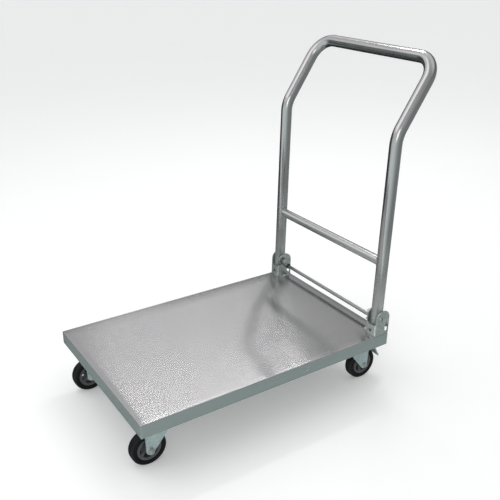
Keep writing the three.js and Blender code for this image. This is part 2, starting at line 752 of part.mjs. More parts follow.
function addCaster(place_, x, y, turn, hasBrake) {
  const caster = new THREE.Group();
  caster.position.set(x, y, 0);
  caster.rotation.z = turn;
  cart.add(caster);
  const pieces = [
    ['caster_plate', casterPlate(), zinc],
    ['ball_race', ballRace(), darkSpring],
    ['kingpin', kingpin(), zinc],
    ['fork', fork(), zinc],
    ['axle_bolt', axleBolt(), zinc],
    ['axle_nut', axleNut(), zinc],
    ['axle_sleeve', axleSleeve(), zinc],
    ['wheel_hub', wheelHub(), hubPlastic],
    ['tyre', tyre(), tyreRubber],
  ];
  if (hasBrake) {
    pieces.push(['brake_pedal', brakePedal(), zinc]);
    pieces.push(['brake_pin', brakePin(), zinc]);
  }
  for (const [name, geometry, material] of pieces) {
    place(caster, `${name}_${place_}`, geometry, material);
  }
}

function addCasters() {
  for (const { side, out } of SIDES) {
    addCaster(`front_${side}`, FRONT_KINGPIN_X, out * CASTER_Y, Math.PI, false);
    addCaster(`rear_${side}`, REAR_KINGPIN_X, out * CASTER_Y, 0, true);
  }
}

// ---------------------------------------------------------------- assembly

addDeck();
addHandle();
addHinges();
addLockRod();
addCasters();

cart.position.x = -MIDDLE_X;

export default cart;
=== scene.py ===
"""Looks of a folding platform cart: stainless deck and handle, plated brackets, four small swivel casters.

Metres throughout. +X runs from the front of the deck to the handle, +Z is up, left is -Y.
"""
import json
import math

import bmesh
import bpy
from mathutils import Matrix, Vector


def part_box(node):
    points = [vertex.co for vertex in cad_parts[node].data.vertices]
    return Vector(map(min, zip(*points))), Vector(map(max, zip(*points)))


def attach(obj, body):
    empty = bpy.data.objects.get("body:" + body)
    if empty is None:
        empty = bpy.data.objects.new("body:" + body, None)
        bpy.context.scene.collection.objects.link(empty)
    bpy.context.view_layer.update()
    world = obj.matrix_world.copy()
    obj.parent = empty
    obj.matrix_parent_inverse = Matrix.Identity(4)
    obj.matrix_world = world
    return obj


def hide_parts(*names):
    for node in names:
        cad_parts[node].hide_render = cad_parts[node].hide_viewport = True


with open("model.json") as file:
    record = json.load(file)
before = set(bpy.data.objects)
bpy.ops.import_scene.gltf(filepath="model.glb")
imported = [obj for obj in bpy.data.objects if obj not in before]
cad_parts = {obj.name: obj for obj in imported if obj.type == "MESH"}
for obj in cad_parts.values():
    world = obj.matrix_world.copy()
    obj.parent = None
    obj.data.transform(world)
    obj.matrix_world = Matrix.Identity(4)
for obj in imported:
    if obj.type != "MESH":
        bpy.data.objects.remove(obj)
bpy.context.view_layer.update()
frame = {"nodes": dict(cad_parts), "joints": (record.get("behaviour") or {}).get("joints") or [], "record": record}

MM = 0.001
MICRON = 0.000001
SIDES = {"left": -1, "right": 1}
CORNERS = ("front_left", "front_right", "rear_left", "rear_right")
REAR_CORNERS = ("rear_left", "rear_right")
JOINT_PLACE = {
    joint["name"]: Vector(joint["pos_m"]) for joint in frame["joints"] if "pos_m" in joint
}
PIVOT = JOINT_PLACE["handle_fold"]


# ---------------------------------------------------------------- sizes, in millimetres

TUBE_RADIUS = 16
TUBE_WALL = 1.5
FINER_BEND = 0.35
CROSSBAR_RADIUS = 12.5
LEG_Y = 221
KNEE_BACK, KNEE_UP, KNEE_BEND = 5, 493, 80
SHOULDER_BACK, SHOULDER_UP, SHOULDER_BEND = 119, 666, 57
ROD_RADIUS = 5
PIN_HEAD_RADIUS, PIN_HEAD_HEIGHT, PIN_HOLE_DEPTH = 9, 3.5, 14
SHEET = 1.5
TOUCH_GAP = 0.3
EAR_FROM_LEG = 18.9
BRACKET_FLOOR = 2.8
BRACKET_BOLT_SPOTS = ((289.5, 221), (291.5, 194))
CASTER_PLATE = 3
PLATE_HOLE_X, PLATE_HOLE_Y = 37.5, 24
EDGE_BEND = 2.5
LIP = 12
TYRE_RADIUS, TYRE_INNER, TYRE_HALF_WIDTH = 45, 31.3, 13
SPRING_WIRE, SPRING_RADIUS, SPRING_TURNS, SPRING_PITCH, SPRING_FIRST = 1, 8.5, 1.875, 2.4, 1.4


# ---------------------------------------------------------------- finishes

def material_tree(name):
    """A new material with its node tree emptied down to one surface shader."""
    material = bpy.data.materials.new(name)
    material.use_nodes = True
    tree = material.node_tree
    tree.nodes.clear()
    shader = tree.nodes.new("ShaderNodeBsdfPrincipled")
    output = tree.nodes.new("ShaderNodeOutputMaterial")
    tree.links.new(shader.outputs["BSDF"], output.inputs["Surface"])
    return material, tree, shader


def feed(tree, socket, value):
    """Links a socket to the one that feeds it, or sets it to a plain value."""
    if isinstance(value, bpy.types.NodeSocket):
        tree.links.new(value, socket)
    else:
        socket.default_value = value


def node(tree, kind, settings=None, **inputs):
    """Adds a node; inputs are values or the sockets that feed them."""
    made = tree.nodes.new(kind)
    for setting, value in (settings or {}).items():
        setattr(made, setting, value)
    for name, value in inputs.items():
        feed(tree, made.inputs[name.replace("_", " ")], value)
    return made


def maths(tree, operation, first, second=0.0):
    made = node(tree, "ShaderNodeMath", {"operation": operation})
    feed(tree, made.inputs[0], first)
    feed(tree, made.inputs[1], second)
    return made.outputs[0]


def multiply(tree, first, second):
    return maths(tree, "MULTIPLY", first, second)


def place_of(tree, stretch=(1, 1, 1), attribute=None):
    """Where a point is on the piece, stretched by a factor along each axis."""
    if attribute:
        place = node(tree, "ShaderNodeAttribute", {"attribute_name": attribute}).outputs["Vector"]
    else:
        place = node(tree, "ShaderNodeTexCoord").outputs["Object"]
    return node(tree, "ShaderNodeMapping", Vector=place, Scale=stretch).outputs["Vector"]


def noise(tree, place, scale=1.0, detail=3.0, roughness=0.55):
    return node(
        tree, "ShaderNodeTexNoise", Vector=place, Scale=scale, Detail=detail, Roughness=roughness
    ).outputs["Fac"]


def remap(tree, value, low, high, to_low, to_high):
    made = node(tree, "ShaderNodeMapRange", Value=value)
    for socket, number in zip(made.inputs[1:5], (low, high, to_low, to_high)):
        socket.default_value = number
    return made.outputs["Result"]


def mix_colour(tree, share, first, second):
    made = tree.nodes.new("ShaderNodeMix")
    made.data_type = "RGBA"
    feed(tree, made.inputs[0], share)
    for index, colour in ((6, first), (7, second)):
        linked = isinstance(colour, bpy.types.NodeSocket)
        feed(tree, made.inputs[index], colour if linked else (*colour, 1.0))
    return made.outputs[2]


def bump(tree, shader, heights):
    """Chains bump layers; each is (height socket, depth in microns)."""
    normal = None
    for height, depth in heights:
        layer = node(tree, "ShaderNodeBump", Height=height, Distance=depth * MICRON, Strength=1.0)
        if normal:
            tree.links.new(normal, layer.inputs["Normal"])
        normal = layer.outputs["Normal"]
    tree.links.new(normal, shader.inputs["Normal"])


def scratch_mask(tree, place, stretch, amount):
    """Thin lines, about one where a scratch runs and nought elsewhere. A larger amount leaves fewer."""
    stretched = node(tree, "ShaderNodeMapping", Vector=place, Scale=stretch).outputs["Vector"]
    edge = 0.5 + amount
    return remap(tree, noise(tree, stretched, 1.0, 2.0), edge, edge + 0.02, 0.0, 1.0)


def brushed_steel(
    name, light, dark, gloss, grain, broad, attribute=None, spread=None, painted_skirt_reflection=None, wave=300,
    painted_floor_reflection=None, painted_far_edge_shade=None,
):
    """Ground stainless: fine grain, cloudy wear, a few scratches.

    gloss is the lowest and highest roughness. spread is how far reflections smear and the map whose first
    direction they smear along. The two tones for a folded side are painted reflection: a darker, greener
    tone laid on the skirts for what they reflect. wave is the depth of the broad clouds in microns. The low
    tone is a paler tone painted low on the legs as a reflection of the pale floor, given with the heights
    where it fades out and where it is full. The far-edge strip is where a strip of painted shade along the
    far edge starts and ends, and its tone. A folded side and the painted low tone are only half as metallic
    as the rest.
    """
    material, tree, shader = material_tree(name)
    place = place_of(tree)
    spot = node(tree, "ShaderNodeSeparateXYZ", Vector=place).outputs
    fine = noise(tree, place_of(tree, grain, attribute), 1.0, 4.0, 0.6)
    coarse = noise(tree, place_of(tree, tuple(g * 0.22 for g in grain), attribute), 1.0, 2.0)
    clouds = noise(tree, place, broad, 4.0, 0.5)
    scratches = scratch_mask(tree, place, (11, 520, 240), 0.19)
    tone = mix_colour(tree, remap(tree, fine, 0.35, 0.65, 0.0, 1.0), dark, light)
    tone = mix_colour(tree, remap(tree, clouds, 0.35, 0.7, 0.0, 0.35), tone, dark)
    shader.inputs["Metallic"].default_value = 1.0
    # painted reflection: a folded side takes a darker, greener tone and is half as metallic
    if painted_skirt_reflection:
        side = node(tree, "ShaderNodeAttribute", {"attribute_name": "folded_down"}).outputs["Fac"]
        tone = mix_colour(tree, side, tone, mix_colour(tree, coarse, *painted_skirt_reflection))
        tree.links.new(remap(tree, side, 0.0, 1.0, 1.0, 0.5), shader.inputs["Metallic"])
    # painted shade: a darker strip along the far edge, full over the rear half and a third as deep towards the
    # front
    if painted_far_edge_shade:
        start, end, painted_shade_tone = painted_far_edge_shade
        near_edge = remap(tree, spot[1], start, end, 0.0, 1.0)
        past_middle = remap(tree, spot[0], -0.2, 0.0, 0.3, 1.0)
        tone = mix_colour(tree, multiply(tree, near_edge, past_middle), tone, painted_shade_tone)
    # painted reflection: a paler tone low down on the legs for the pale floor they reflect, and half as metallic
    # there
    if painted_floor_reflection:
        painted_floor_reflection_tone, faded_out, full = painted_floor_reflection
        low_down = remap(tree, spot[2], faded_out, full, 0.0, 1.0)
        tone = mix_colour(tree, low_down, tone, painted_floor_reflection_tone)
        tree.links.new(remap(tree, low_down, 0.0, 1.0, 1.0, 0.5), shader.inputs["Metallic"])
    tone = mix_colour(tree, multiply(tree, scratches, 0.35), tone, light)
    tree.links.new(tone, shader.inputs["Base Color"])
    worn = remap(tree, clouds, 0.3, 0.7, *gloss)
    grainy = remap(tree, fine, 0.3, 0.7, -0.015, 0.015)
    tree.links.new(maths(tree, "ADD", worn, grainy), shader.inputs["Roughness"])
    if spread:
        amount, uv_map = spread
        shader.inputs["Anisotropic"].default_value = amount
        tangent = node(tree, "ShaderNodeTangent", {"direction_type": "UV_MAP", "uv_map": uv_map})
        tree.links.new(tangent.outputs[0], shader.inputs["Tangent"])
    bump(tree, shader, [(clouds, wave), (coarse, 1.5), (fine, 0.8), (scratches, -1.5)])
    return material


def plated_steel(name, light, dark, gloss, stain, metal=0.92):
    """Bright zinc plate: soft mottling, dull patches, rubbed spots and a few scratches."""
    material, tree, shader = material_tree(name)
    place = place_of(tree)
    mottle = noise(tree, place, 160, 4.0, 0.6)
    patches = noise(tree, place, 28, 3.0, 0.5)
    pressed = noise(tree, place, 900, 2.0, 0.6)
    scratches = scratch_mask(tree, place, (900, 130, 160), 0.2)
    tone = mix_colour(tree, remap(tree, mottle, 0.35, 0.65, 0.0, 1.0), dark, light)
    tone = mix_colour(tree, remap(tree, patches, 0.52, 0.72, 0.0, 0.45), tone, stain)
    tone = mix_colour(tree, multiply(tree, scratches, 0.3), tone, light)
    tree.links.new(tone, shader.inputs["Base Color"])
    tree.links.new(remap(tree, patches, 0.3, 0.7, *gloss), shader.inputs["Roughness"])
    shader.inputs["Metallic"].default_value = metal
    bump(tree, shader, [(patches, 300), (mottle, 60), (pressed, 10), (scratches, -20)])
    return material


def moulded(name, base, dust, gloss, pebble, dusty=0.5, shine=0.5):
    """Rubber or plastic: fine moulded texture with pale dust in the cloudy places."""
    material, tree, shader = material_tree(name)
    place = place_of(tree)
    clouds = noise(tree, place, 45, 4.0, 0.6)
    grit = noise(tree, place, pebble, 3.0, 0.7)
    scuffs = scratch_mask(tree, place, (240, 900, 240), 0.17)
    tone = mix_colour(tree, remap(tree, clouds, 0.45, 0.75, 0.0, dusty), base, dust)
    tone = mix_colour(tree, multiply(tree, scuffs, 0.25), tone, dust)
    tree.links.new(tone, shader.inputs["Base Color"])
    tree.links.new(remap(tree, clouds, 0.3, 0.7, *gloss), shader.inputs["Roughness"])
    shader.inputs["Specular IOR Level"].default_value = shine
    bump(tree, shader, [(clouds, 200), (grit, 50), (scuffs, -30)])
    return material


DECK_STEEL = brushed_steel(
    "deck_brushed_stainless", (0.475, 0.472, 0.475), (0.41, 0.408, 0.411), (0.22, 0.27),
    (14, 1100, 700), 5.0,
    # the folded-side tones are painted reflection, darker and greener than the top
    spread=(1.0, "across_grain"), painted_skirt_reflection=((0.34, 0.405, 0.392), (0.385, 0.45, 0.437)), wave=20,
    # the far-edge strip is painted shade
    painted_far_edge_shade=(0.185, 0.235, (0.27, 0.27, 0.272)),
)
TUBE_STEEL = brushed_steel(
    "handle_polished_stainless", (0.5, 0.495, 0.5), (0.4, 0.395, 0.4), (0.15, 0.22), (900, 900, 9), 18.0,
    # the low tone is painted reflection of the pale floor on the lower legs
    attribute="tube_place", spread=(0.7, "along_tube"), wave=100, painted_floor_reflection=((0.76, 0.79, 0.78), 0.46, 0.2),
)
ROD_STEEL = brushed_steel(
    "rod_drawn_stainless", (0.42, 0.42, 0.42), (0.3, 0.3, 0.305), (0.24, 0.34), (1400, 1400, 12), 25.0,
    attribute="tube_place",
)
FRAME_STEEL = plated_steel(
    "frame_folded_steel", (0.5, 0.52, 0.51), (0.36, 0.38, 0.375), (0.36, 0.5), (0.3, 0.31, 0.3)
)
BRACKET_STEEL = plated_steel(
    "bracket_plated_steel", (0.64, 0.68, 0.66), (0.44, 0.5, 0.48), (0.24, 0.38), (0.34, 0.39, 0.375),
    metal=0.8,
)
CASTER_ZINC = plated_steel(
    "caster_zinc_plate", (0.62, 0.73, 0.735), (0.46, 0.57, 0.575), (0.28, 0.42), (0.4, 0.5, 0.5), metal=0.6,
)
FASTENER_ZINC = plated_steel(
    "fastener_zinc_plate", (0.68, 0.69, 0.67), (0.5, 0.52, 0.5), (0.24, 0.36), (0.44, 0.43, 0.36)
)
SPRING_STEEL = plated_steel(
    "spring_black_wire", (0.12, 0.125, 0.12), (0.05, 0.052, 0.05), (0.3, 0.42), (0.09, 0.085, 0.08)
)
HUB_PLASTIC = moulded("hub_grey_plastic", (0.075, 0.078, 0.084), (0.15, 0.15, 0.15), (0.38, 0.52), 1500)
TYRE_RUBBER = moulded(
    "tyre_black_rubber", (0.0025, 0.0025, 0.003), (0.014, 0.014, 0.014), (0.34, 0.48), 1100,
    dusty=0.25, shine=0.22,
)
WELD_STEEL = brushed_steel(
    "weld_heat_tinted", (0.6, 0.585, 0.57), (0.42, 0.41, 0.4), (0.28, 0.4), (700, 700, 700), 60.0
)


# ---------------------------------------------------------------- making and placing pieces

def finish_piece(piece, body, material, replaced=(), smooth_under=32):
    """Gives a piece its finish, smooth shading and its body, and hides the CAD nodes it stands for."""
    mesh = piece.data
    if material:
        mesh.materials.clear()
        mesh.materials.append(material)
    mesh.shade_smooth()
    mesh.set_sharp_from_angle(angle=math.radians(smooth_under))
    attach(piece, body)
    if replaced:
        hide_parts(*replaced)
    return piece


def link_mesh(name, mesh):
    piece = bpy.data.objects.new(name, mesh)
    bpy.context.scene.collection.objects.link(piece)
    return piece


def mesh_from(work, name):
    mesh = bpy.data.meshes.new(name)
    work.to_mesh(mesh)
    work.free()
    return link_mesh(name, mesh)


def body_of(node_name):
    bodies = frame["record"]["behaviour"]["bodies"]
    return next(body for body, members in bodies.items() if node_name in members)


def eased(node_name, material, edge):
    """A finer copy of a CAD node: joined up, flat faces whole, every sharp edge eased by a small round."""
    work = bmesh.new()
    work.from_mesh(frame["nodes"][node_name].data)
    bmesh.ops.remove_doubles(work, verts=work.verts, dist=0.000004)
    bmesh.ops.dissolve_limit(work, angle_limit=math.radians(0.5), verts=work.verts, edges=work.edges)
    piece = mesh_from(work, f"{node_name}_eased")
    add_edge_round(piece, edge)
    return finish_piece(piece, body_of(node_name), material, [node_name])


def add_edge_round(piece, edge, segments=2, angle=42):
    rounding = piece.modifiers.new("edge_round", "BEVEL")
    rounding.width = edge * MM
    rounding.segments = segments
    rounding.limit_method = "ANGLE"
    rounding.angle_limit = math.radians(angle)
    rounding.harden_normals = False
    rounding.use_clamp_overlap = True


def turned(name, outline, centre, steps):
    """Spins an outline of (radius, distance along Y) round Y; a point on the axis closes a pole."""
    work = bmesh.new()
    rings = []
    for radius, along in outline:
        count = 1 if radius < 1e-6 else steps
        ring = []
        for step in range(count):
            angle = 2 * math.pi * step / steps
            across, up = radius * math.cos(angle), radius * math.sin(angle)
            ring.append(work.verts.new(centre + Vector((across, along, up)) * MM))
        rings.append(ring)
    closed = outline[0][0] > 1e-6
    for first, second in zip(rings, rings[1:] + ([rings[0]] if closed else [])):
        for step in range(steps):
            after = (step + 1) % steps
            corners = [first[step % len(first)], first[after % len(first)],
                       second[after % len(second)], second[step % len(second)]]
            whole = list(dict.fromkeys(corners))
            if len(whole) > 2:
                work.faces.new(whole)
    bmesh.ops.recalc_face_normals(work, faces=work.faces)
    return mesh_from(work, name)


def rounded_path(corners, radii, steps=14):
    """Points of a line through corners, each inner corner rounded to its radius."""
    points = [corners[0]]
    for before, corner, after, radius in zip(corners, corners[1:], corners[2:], radii):
        to_before, to_after = (before - corner).normalized(), (after - corner).normalized()
        half = to_before.angle(to_after) / 2
        reach = radius / math.tan(half)
        middle = corner + (to_before + to_after).normalized() * (radius / math.sin(half))
        first = (corner + to_before * reach - middle).normalized()
        last = (corner + to_after * reach - middle).normalized()
        for step in range(steps + 1):
            points.append(middle + first.slerp(last, step / steps) * radius)
    points.append(corners[-1])
    return points


def points_mesh(name, points, edges=()):
    mesh = bpy.data.meshes.new(name)
    mesh.from_pydata([tuple(point) for point in points], list(edges), [])
    return link_mesh(name, mesh)


def line_mesh(name, points, closed=False):
    """A bare line through points, for a tree of nodes to grow a piece along."""
    edges = [(index, index + 1) for index in range(len(points) - 1)]
    if closed:
        edges.append((len(points) - 1, 0))
    return points_mesh(name, points, edges)


# ---------------------------------------------------------------- trees of geometry nodes

SOCKET_KINDS = {float: "NodeSocketFloat", int: "NodeSocketInt", tuple: "NodeSocketVector"}


def shape_tree(name, sizes):
    """An empty shape tree with geometry and material in, one input for each size, and geometry out."""
    tree = bpy.data.node_groups.new(name, "GeometryNodeTree")
    tree.interface.new_socket("Geometry", in_out="INPUT", socket_type="NodeSocketGeometry")
    tree.interface.new_socket("Finish", in_out="INPUT", socket_type="NodeSocketMaterial")
    for label, value in sizes.items():
        kind = SOCKET_KINDS[type(value)]
        socket = tree.interface.new_socket(label, in_out="INPUT", socket_type=kind)
        socket.default_value = value
    tree.interface.new_socket("Geometry", in_out="OUTPUT", socket_type="NodeSocketGeometry")
    given = tree.nodes.new("NodeGroupInput")
    return tree, given.outputs


def end_tree(tree, given, shape):
    """Realizes the shape, gives it the finish and hands it out."""
    real = node(tree, "GeometryNodeRealizeInstances", Geometry=shape)
    finished = node(tree, "GeometryNodeSetMaterial", Geometry=real.outputs[0], Material=given["Finish"])
    out = tree.nodes.new("NodeGroupOutput")
    tree.links.new(finished.outputs[0], out.inputs[0])


def along_z(tree, height):
    return node(tree, "ShaderNodeCombineXYZ", Z=height).outputs[0]


def moved(tree, shape, offset):
    return node(tree, "GeometryNodeTransform", Geometry=shape, Translation=offset).outputs[0]


def make_tube_tree():
    """A round tube along a line.

    It stores each point's place round and along it as tube_place, and lays the tube out on along_tube.
    """
    tree, given = shape_tree("round_tube", {"Radius": 0.01, "Sides": 24, "Close Ends": 0})
    path = node(tree, "GeometryNodeMeshToCurve", Mesh=given["Geometry"]).outputs[0]
    along = node(tree, "GeometryNodeSplineParameter").outputs["Length"]
    path = node(
        tree, "GeometryNodeStoreNamedAttribute", {"data_type": "FLOAT", "domain": "POINT"},
        Geometry=path, Name="tube_along", Value=along,
    ).outputs[0]
    ring = node(tree, "GeometryNodeCurvePrimitiveCircle", Resolution=given["Sides"], Radius=given["Radius"])
    around = node(tree, "GeometryNodeInputPosition").outputs[0]
    profile = node(
        tree, "GeometryNodeStoreNamedAttribute", {"data_type": "FLOAT_VECTOR", "domain": "POINT"},
        Geometry=ring.outputs["Curve"], Name="tube_around", Value=around,
    ).outputs[0]
    tube = node(
        tree, "GeometryNodeCurveToMesh", Curve=path, Profile_Curve=profile, Fill_Caps=given["Close Ends"]
    ).outputs[0]
    stored_along = node(tree, "GeometryNodeInputNamedAttribute", {"data_type": "FLOAT"}, Name="tube_along")
    stored_around = node(
        tree, "GeometryNodeInputNamedAttribute", {"data_type": "FLOAT_VECTOR"}, Name="tube_around"
    )
    apart = node(tree, "ShaderNodeSeparateXYZ", Vector=stored_around.outputs[0])
    joined = node(
        tree, "ShaderNodeCombineXYZ", X=apart.outputs[0], Y=apart.outputs[1], Z=stored_along.outputs[0]
    ).outputs[0]
    stored = node(
        tree, "GeometryNodeStoreNamedAttribute", {"data_type": "FLOAT_VECTOR", "domain": "POINT"},
        Geometry=tube, Name="tube_place", Value=joined,
    ).outputs[0]
    turn = maths(tree, "ARCTAN2", apart.outputs[1], apart.outputs[0])
    laid_out = node(tree, "ShaderNodeCombineXYZ", X=stored_along.outputs[0], Y=turn).outputs[0]
    mapped = node(
        tree, "GeometryNodeStoreNamedAttribute", {"data_type": "FLOAT2", "domain": "CORNER"},
        Geometry=stored, Name="along_tube", Value=laid_out,
    ).outputs[0]
    end_tree(tree, given, mapped)
    return tree


def make_fastener_tree():
    """Hexagon heads or nuts on washers, one at each point, each turned by its own chance angle."""
    tree, given = shape_tree("hexagon_fasteners", {
        "Flats": 0.013, "Height": 0.0065, "Crown Radius": 0.0117, "Crown Drop": 0.0099,
        "Washer Radius": 0.008, "Washer Height": 0.0016, "Shank Radius": 0.004, "Shank Up": 0.002,
        "Shank Down": 0.01, "Facing": (0.0, 0.0, 0.0), "Seed": 1,
    })
    corner = maths(tree, "DIVIDE", given["Flats"], math.sqrt(3))
    top = maths(tree, "ADD", given["Washer Height"], given["Height"])
    prism = node(
        tree, "GeometryNodeMeshCylinder", Vertices=6, Radius=corner, Depth=given["Height"]
    ).outputs[0]
    middle = maths(tree, "SUBTRACT", top, maths(tree, "DIVIDE", given["Height"], 2.0))
    prism = moved(tree, prism, along_z(tree, middle))
    crown = node(
        tree, "GeometryNodeMeshUVSphere", Segments=48, Rings=40, Radius=given["Crown Radius"]
    ).outputs[0]
    crown = moved(tree, crown, along_z(tree, maths(tree, "SUBTRACT", top, given["Crown Drop"])))
    head = tree.nodes.new("GeometryNodeMeshBoolean")
    head.operation = "INTERSECT"
    head.solver = "EXACT"
    mesh_socket = next(socket for socket in head.inputs if socket.name == "Mesh" and socket.is_multi_input)
    tree.links.new(prism, mesh_socket)
    tree.links.new(crown, mesh_socket)
    washer = node(
        tree, "GeometryNodeMeshCylinder",
        Vertices=32, Radius=given["Washer Radius"], Depth=given["Washer Height"],
    ).outputs[0]
    washer = moved(tree, washer, along_z(tree, maths(tree, "DIVIDE", given["Washer Height"], 2.0)))
    shank_top = maths(tree, "ADD", top, given["Shank Up"])
    length = maths(tree, "ADD", shank_top, given["Shank Down"])
    shank = node(
        tree, "GeometryNodeMeshCylinder", Vertices=24, Radius=given["Shank Radius"], Depth=length
    ).outputs[0]
    shank_middle = maths(tree, "SUBTRACT", shank_top, maths(tree, "DIVIDE", length, 2.0))
    shank = moved(tree, shank, along_z(tree, shank_middle))
    joined = tree.nodes.new("GeometryNodeJoinGeometry")
    for part in (shank, washer, head.outputs[0]):
        tree.links.new(part, joined.inputs[0])
    spin = node(tree, "FunctionNodeRandomValue", {"data_type": "FLOAT"}, Seed=given["Seed"])
    spin.inputs[3].default_value = math.radians(60)
    spin_euler = node(tree, "ShaderNodeCombineXYZ", Z=spin.outputs[1]).outputs[0]
    facing = node(tree, "FunctionNodeEulerToRotation", Euler=given["Facing"]).outputs[0]
    turn = node(tree, "FunctionNodeEulerToRotation", Euler=spin_euler).outputs[0]
    both = tree.nodes.new("FunctionNodeRotateRotation")
    both.rotation_space = "LOCAL"
    tree.links.new(facing, both.inputs[0])
    tree.links.new(turn, both.inputs[1])
    spread = node(
        tree, "GeometryNodeInstanceOnPoints", Points=given["Geometry"], Instance=joined.outputs[0],
        Rotation=both.outputs[0],
    )
    end_tree(tree, given, spread.outputs[0])
    return tree


def make_weld_tree():
    """A weld bead: flattened ripples close together along a line."""
    tree, given = shape_tree("weld_ripples", {"Ripple Radius": 0.0016, "Ripples": 60, "Seed": 3})
    path = node(tree, "GeometryNodeMeshToCurve", Mesh=given["Geometry"]).outputs[0]
    spots = node(tree, "GeometryNodeCurveToPoints", {"mode": "COUNT"}, Curve=path, Count=given["Ripples"])
    ripple = node(
        tree, "GeometryNodeMeshIcoSphere", Radius=given["Ripple Radius"], Subdivisions=2
    ).outputs[0]
    ripple = node(tree, "GeometryNodeTransform", Geometry=ripple, Scale=(0.8, 1.0, 0.62)).outputs[0]
    chance = node(tree, "FunctionNodeRandomValue", {"data_type": "FLOAT"}, Seed=given["Seed"])
    chance.inputs[2].default_value = 0.88
    chance.inputs[3].default_value = 1.12
    placed = node(
        tree, "GeometryNodeInstanceOnPoints", Points=spots.outputs["Points"], Instance=ripple,
        Rotation=spots.outputs["Rotation"], Scale=chance.outputs[1],
    )
    end_tree(tree, given, placed.outputs[0])
    return tree


TUBE_TREE = make_tube_tree()
FASTENER_TREE = make_fastener_tree()
WELD_TREE = make_weld_tree()


def grown(name, tree, start, material, sizes):
    """Grows a tree on a start object with these sizes, and returns the result as a plain mesh object."""
    modifier = start.modifiers.new(tree.name, "NODES")
    modifier.node_group = tree
    for item in tree.interface.items_tree:
        if item.in_out != "INPUT":
            continue
        if item.name == "Finish":
            modifier[item.identifier] = material
        elif item.name in sizes:
            modifier[item.identifier] = sizes[item.name]
    graph = bpy.context.evaluated_depsgraph_get()
    mesh = bpy.data.meshes.new_from_object(start.evaluated_get(graph))
    mesh.name = name
    bpy.data.objects.remove(start)
    return link_mesh(name, mesh)


def tube_piece(name, points, radius, sides, material, closed_ends=True):
    sizes = {"Radius": radius * MM, "Sides": sides, "Close Ends": int(closed_ends)}
    return grown(name, TUBE_TREE, line_mesh(name + "_line", points), material, sizes)


def hexagons(name, points, facing, material, flats, height, washer, shank, up, down, seed=1):
    """Hexagon nuts or bolt heads at points. facing turns +Z to the way the head stands up."""
    crown = 0.9 * flats
    sizes = {
        "Flats": flats * MM, "Height": height * MM, "Crown Radius": crown * MM,
        "Crown Drop": math.sqrt(crown ** 2 - (0.47 * flats) ** 2) * MM,
        "Washer Radius": washer[0] * MM, "Washer Height": washer[1] * MM,
        "Shank Radius": shank * MM, "Shank Up": up * MM, "Shank Down": down * MM,
        "Facing": facing, "Seed": seed,
    }
    return grown(name, FASTENER_TREE, points_mesh(name + "_points", points), material, sizes)


FACE_UP = (0.0, 0.0, 0.0)
FACE_DOWN = (math.pi, 0.0, 0.0)


def face_along_y(sign):
    return (-sign * math.pi / 2, 0.0, 0.0)


# ---------------------------------------------------------------- deck

def unfold_sheet(work, middle, top):
    """Lays the folded sheet out flat on a map, with the grain running along its second direction."""
    across = work.loops.layers.uv.new("across_grain")
    work.normal_update()
    for face in work.faces:
        is_end = abs(face.normal.x) > abs(face.normal.y)
        for loop in face.loops:
            spot = loop.vert.co
            drop = top - spot.z
            x, y = spot.x, spot.y
            if is_end:
                x += math.copysign(drop, x - middle.x)
            else:
                y += math.copysign(drop, y - middle.y)
            loop[across].uv = (y, x)


def folded_pan(name, low, high):
    """A folded sheet pan: gently wavy top, rounded edge, skirts, and lips turned in below."""
    cells_x, cells_y = 44, 28
    half = (high - low) / 2
    middle = (high + low) / 2
    bend, lip = EDGE_BEND * MM, LIP * MM
    top_half = Vector((half.x - bend, half.y - bend))
    work = bmesh.new()
    # folded_down is how far the sheet is turned down; the deck's finish lays its painted reflection tone there
    down = work.verts.layers.float.new("folded_down")

    def surface_z(x, y):
        fall = (1 - (x / top_half.x) ** 2) * (1 - (y / top_half.y) ** 2)
        wave = math.sin(7.3 * x + 2.1) * math.sin(11.9 * y + 0.7) + 0.6 * math.sin(15.1 * x + 9.7 * y)
        return high.z - (0.0003 + 0.0001 * wave) * fall

    grid = []
    for column in range(cells_x + 1):
        x = top_half.x * (2 * column / cells_x - 1)
        row = []
        for step in range(cells_y + 1):
            y = top_half.y * (2 * step / cells_y - 1)
            row.append(work.verts.new((middle.x + x, middle.y + y, surface_z(x, y))))
        grid.append(row)
    for column in range(cells_x):
        for step in range(cells_y):
            work.faces.new([grid[column][step], grid[column + 1][step],
                            grid[column + 1][step + 1], grid[column][step + 1]])
    rim = [grid[column][0] for column in range(cells_x)]
    rim += [grid[cells_x][step] for step in range(cells_y)]
    rim += [grid[cells_x - column][cells_y] for column in range(cells_x)]
    rim += [grid[0][cells_y - step] for step in range(cells_y)]
    steps = 6
    section = []
    for step in range(1, steps + 1):
        angle = math.pi / 2 * step / steps
        turned_down = max(0, 2 * step / steps - 1)
        section.append((bend * math.sin(angle), high.z - bend * (1 - math.cos(angle)), turned_down))
    for share in (0.25, 0.5, 0.75):
        section.append((bend, high.z - bend - share * (high.z - low.z - 2 * bend), 1.0))
    for step in range(steps + 1):
        angle = math.pi / 2 * step / steps
        section.append((bend * math.cos(angle), low.z + bend * (1 - math.sin(angle)), 1.0))
    section.append((bend - lip, low.z, 1.0))
    previous = rim
    for out, z, share in section:
        ring = []
        for vert in rim:
            x = (vert.co.x - middle.x) * (top_half.x + out) / top_half.x
            y = (vert.co.y - middle.y) * (top_half.y + out) / top_half.y
            made = work.verts.new((middle.x + x, middle.y + y, z))
            made[down] = share
            ring.append(made)
        for index in range(len(rim)):
            after = (index + 1) % len(rim)
            work.faces.new([previous[index], ring[index], ring[after], previous[after]])
        previous = ring
    unfold_sheet(work, middle, high.z)
    bmesh.ops.recalc_face_normals(work, faces=work.faces)
    piece = mesh_from(work, name)
    wall = piece.modifiers.new("sheet", "SOLIDIFY")
    wall.thickness = SHEET * MM
    wall.offset = -1
    add_edge_round(piece, 0.7, 2, 60)
    return piece


